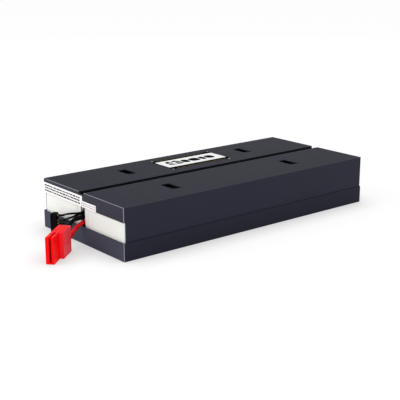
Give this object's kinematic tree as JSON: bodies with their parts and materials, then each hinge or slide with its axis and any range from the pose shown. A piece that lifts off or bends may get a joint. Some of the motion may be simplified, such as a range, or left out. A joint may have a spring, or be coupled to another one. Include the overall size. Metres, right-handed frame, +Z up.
{
  "type": "ups battery cartridge",
  "caption": "Rack UPS battery cartridge: sealed lead-acid batteries in a black tray with two snap covers, red power plug and small sense plug on short leads",
  "frame": {"origin": "middle of the tray's underside, leads and plugs left out", "axes": "+Y along the cartridge from its front, where the leads come out, to its back; +X to its right seen from the front; +Z up"},
  "size_m": [0.204, 0.541, 0.0737],
  "materials": {
    "tray_plastic": "fine moulded texture, charcoal",
    "cover_plastic": "fine moulded texture, charcoal",
    "label_film": "white film with plain printed bands",
    "battery_case": "off-white moulded case",
    "terminal_tin": "tin-plated",
    "receptacle_brass": "stamped, bright",
    "guide_plastic": "moulded, dark grey",
    "clamp_plastic": "moulded, grey-brown",
    "screw_steel": "zinc-plated",
    "power_plug_plastic": "moulded, bright red",
    "sense_plug_plastic": "moulded, black",
    "contact_silver": "silver-plated copper, bright",
    "contact_brass": "stamped, bright",
    "sleeve_rubber": "shrunk sleeve, satin",
    "red_insulation": "soft PVC, red",
    "black_insulation": "soft PVC, black"
  },
  "bodies": {
    "root": {"tray": "tray_plastic", "cover_left": "cover_plastic", "cover_right": "cover_plastic", "top_label": "label_film", "front_label": "label_film", "lead_guide": "guide_plastic", "lead_clamp": "clamp_plastic", "clamp_screw": "screw_steel", "jumper_cross": "black_insulation", "plug_housing": "power_plug_plastic", "sense_plug_housing": "sense_plug_plastic", "tap_sleeve_low": "sleeve_rubber", "tap_sleeve_middle": "sleeve_rubber", "tap_sleeve_high": "sleeve_rubber", "red_lead_inner": "red_insulation", "black_lead_inner": "black_insulation", "sense_lead_low_inner": "black_insulation", "sense_lead_middle_inner": "black_insulation", "sense_lead_high_inner": "black_insulation", "contact_lower": "contact_silver", "contact_upper": "contact_silver", "red_lead": "red_insulation", "black_lead": "black_insulation", "battery_right_front": "battery_case", "terminals_right_front": "terminal_tin", "receptacles_right_front": "receptacle_brass", "battery_right_middle": "battery_case", "terminals_right_middle": "terminal_tin", "receptacles_right_middle": "receptacle_brass", "battery_right_rear": "battery_case", "terminals_right_rear": "terminal_tin", "receptacles_right_rear": "receptacle_brass", "jumper_right_front": "black_insulation", "jumper_right_rear": "black_insulation", "battery_left_front": "battery_case", "terminals_left_front": "terminal_tin", "receptacles_left_front": "receptacle_brass", "battery_left_middle": "battery_case", "terminals_left_middle": "terminal_tin", "receptacles_left_middle": "receptacle_brass", "battery_left_rear": "battery_case", "terminals_left_rear": "terminal_tin", "receptacles_left_rear": "receptacle_brass", "jumper_left_front": "black_insulation", "jumper_left_rear": "black_insulation", "sense_contact_high": "contact_brass", "sense_lead_high": "black_insulation", "sense_contact_middle": "contact_brass", "sense_lead_middle": "black_insulation", "sense_contact_low": "contact_brass", "sense_lead_low": "black_insulation"}
  },
  "joints": []
}
